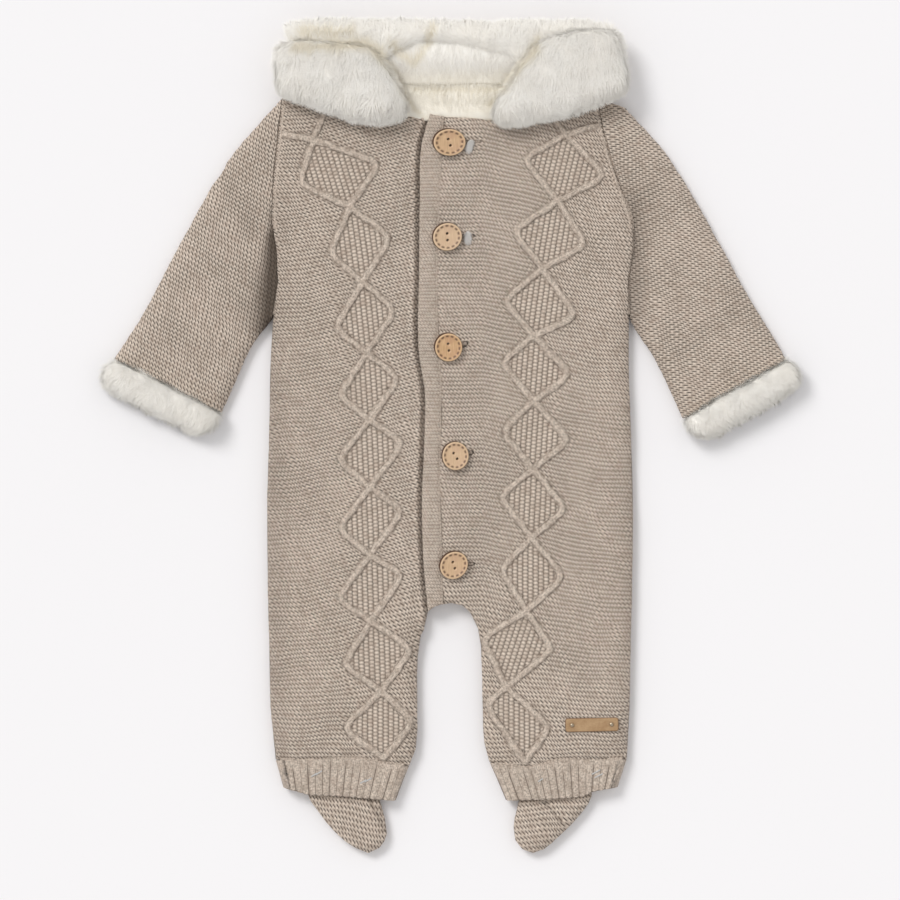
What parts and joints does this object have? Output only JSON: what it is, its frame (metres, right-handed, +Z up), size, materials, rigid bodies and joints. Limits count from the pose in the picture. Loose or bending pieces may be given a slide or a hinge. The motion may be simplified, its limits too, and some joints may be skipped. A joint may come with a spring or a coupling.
{
  "type": "baby snowsuit",
  "caption": "Baby's one-piece knitted suit with cabled diamond fronts, buttoned placket, ribbed ankles with feet, fur cuffs and a fur-trimmed hood, laid flat.",
  "frame": {"origin": "centre of the suit's outline on the surface that it lies on", "axes": "+Y from the feet to the hood, +X to the wearer's left, +Z up out of the front"},
  "size_m": [0.5289, 0.6237, 0.0407],
  "materials": {
    "knit": "heathered moss-stitch knit",
    "fur": "short soft fur and plush",
    "wood": "satin turned wood",
    "thread": "matt sewing thread",
    "plate_tan": "smooth satin",
    "rivet": "satin"
  },
  "bodies": {
    "root": {"ankle_rib_left": "knit", "ankle_rib_right": "knit", "back_panel": "knit", "button_1": "wood", "button_2": "wood", "button_3": "wood", "button_4": "wood", "button_5": "wood", "button_band": "knit", "button_thread_1": "thread", "button_thread_2": "thread", "button_thread_3": "thread", "button_thread_4": "thread", "button_thread_5": "thread", "cuff_fur_left": "fur", "cuff_fur_right": "fur", "foot_sole_left": "knit", "foot_sole_right": "knit", "foot_upper_left": "knit", "foot_upper_right": "knit", "front_left": "knit", "front_right": "knit", "hood_fur_back": "fur", "hood_fur_left": "fur", "hood_fur_right": "fur", "hood_lining": "fur", "hood_shell": "knit", "neck_lining": "fur", "plate": "plate_tan", "plate_rivet_1": "rivet", "plate_rivet_2": "rivet", "sleeve_left": "knit", "sleeve_right": "knit"}
  },
  "joints": []
}
